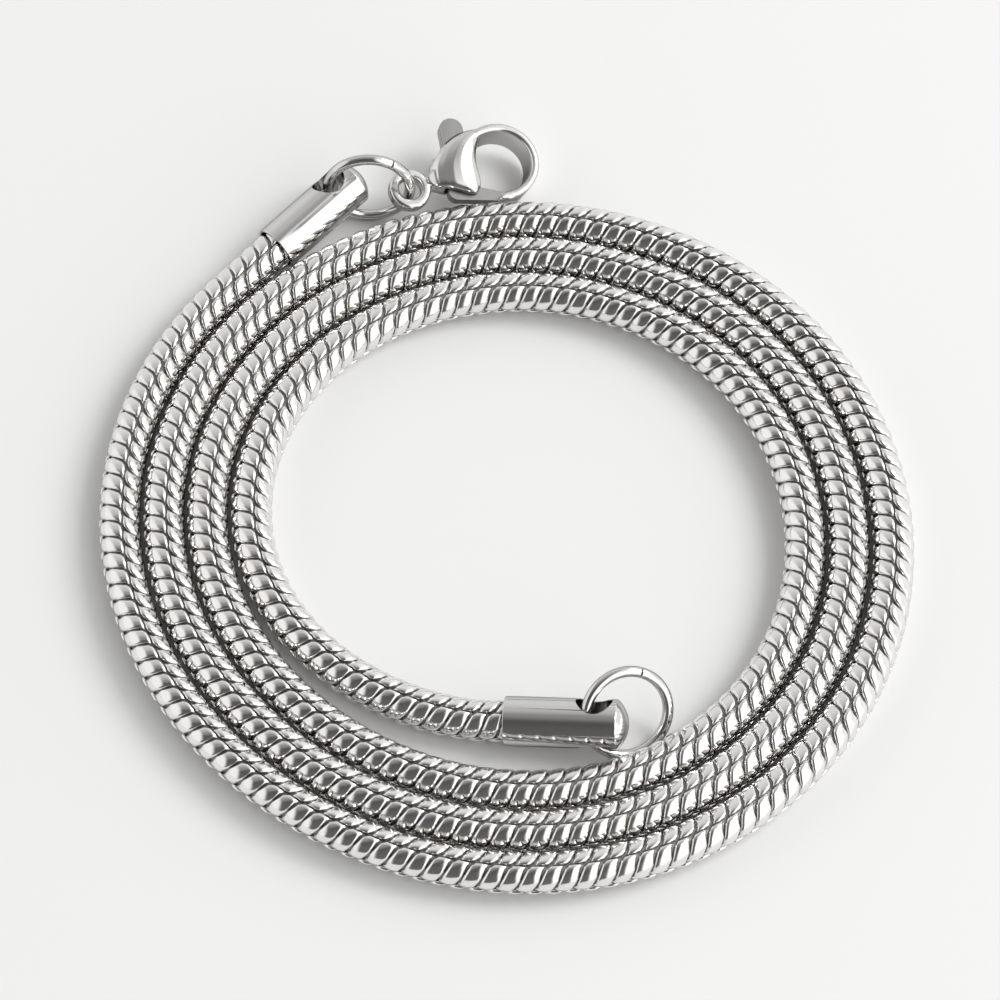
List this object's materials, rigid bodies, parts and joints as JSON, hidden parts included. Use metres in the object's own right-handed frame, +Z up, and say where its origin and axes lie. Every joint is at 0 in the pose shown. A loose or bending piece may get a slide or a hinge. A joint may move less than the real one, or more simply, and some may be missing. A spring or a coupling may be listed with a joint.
{
  "type": "snake chain necklace",
  "caption": "Round snake chain necklace lying coiled flat, with tube end caps, wire jump rings and a lobster claw clasp whose lever turns on a pin.",
  "frame": {"origin": "middle of the bounding box, on the surface that the necklace lies on", "axes": "+Z up from the surface, +Y away from the viewer of the picture, +X to the viewer's right; the coil's middle lies close to the origin and the clasp is at the +Y side"},
  "size_m": [0.061, 0.066, 0.0072],
  "materials": {
    "chain": "polished silver-coloured steel links",
    "fittings": "polished silver-coloured steel"
  },
  "bodies": {
    "necklace": {"chain": "chain", "end_cap_a": "fittings", "end_cap_b": "fittings", "jump_ring_a": "fittings", "jump_ring_b": "fittings", "clasp_body": "fittings"},
    "lever": {"clasp_lever": "fittings"}
  },
  "joints": [
    {"name": "lever_hinge", "type": "hinge", "parent": "necklace", "child": "lever", "pos_m": [-0.00379, 0.02868, 0.00255], "axis": [0.2022, -0.2086, 0.9569], "range_deg": [0, 20], "stiffness_Nm_per_rad": 0.02, "springref_deg": -17.19}
  ]
}
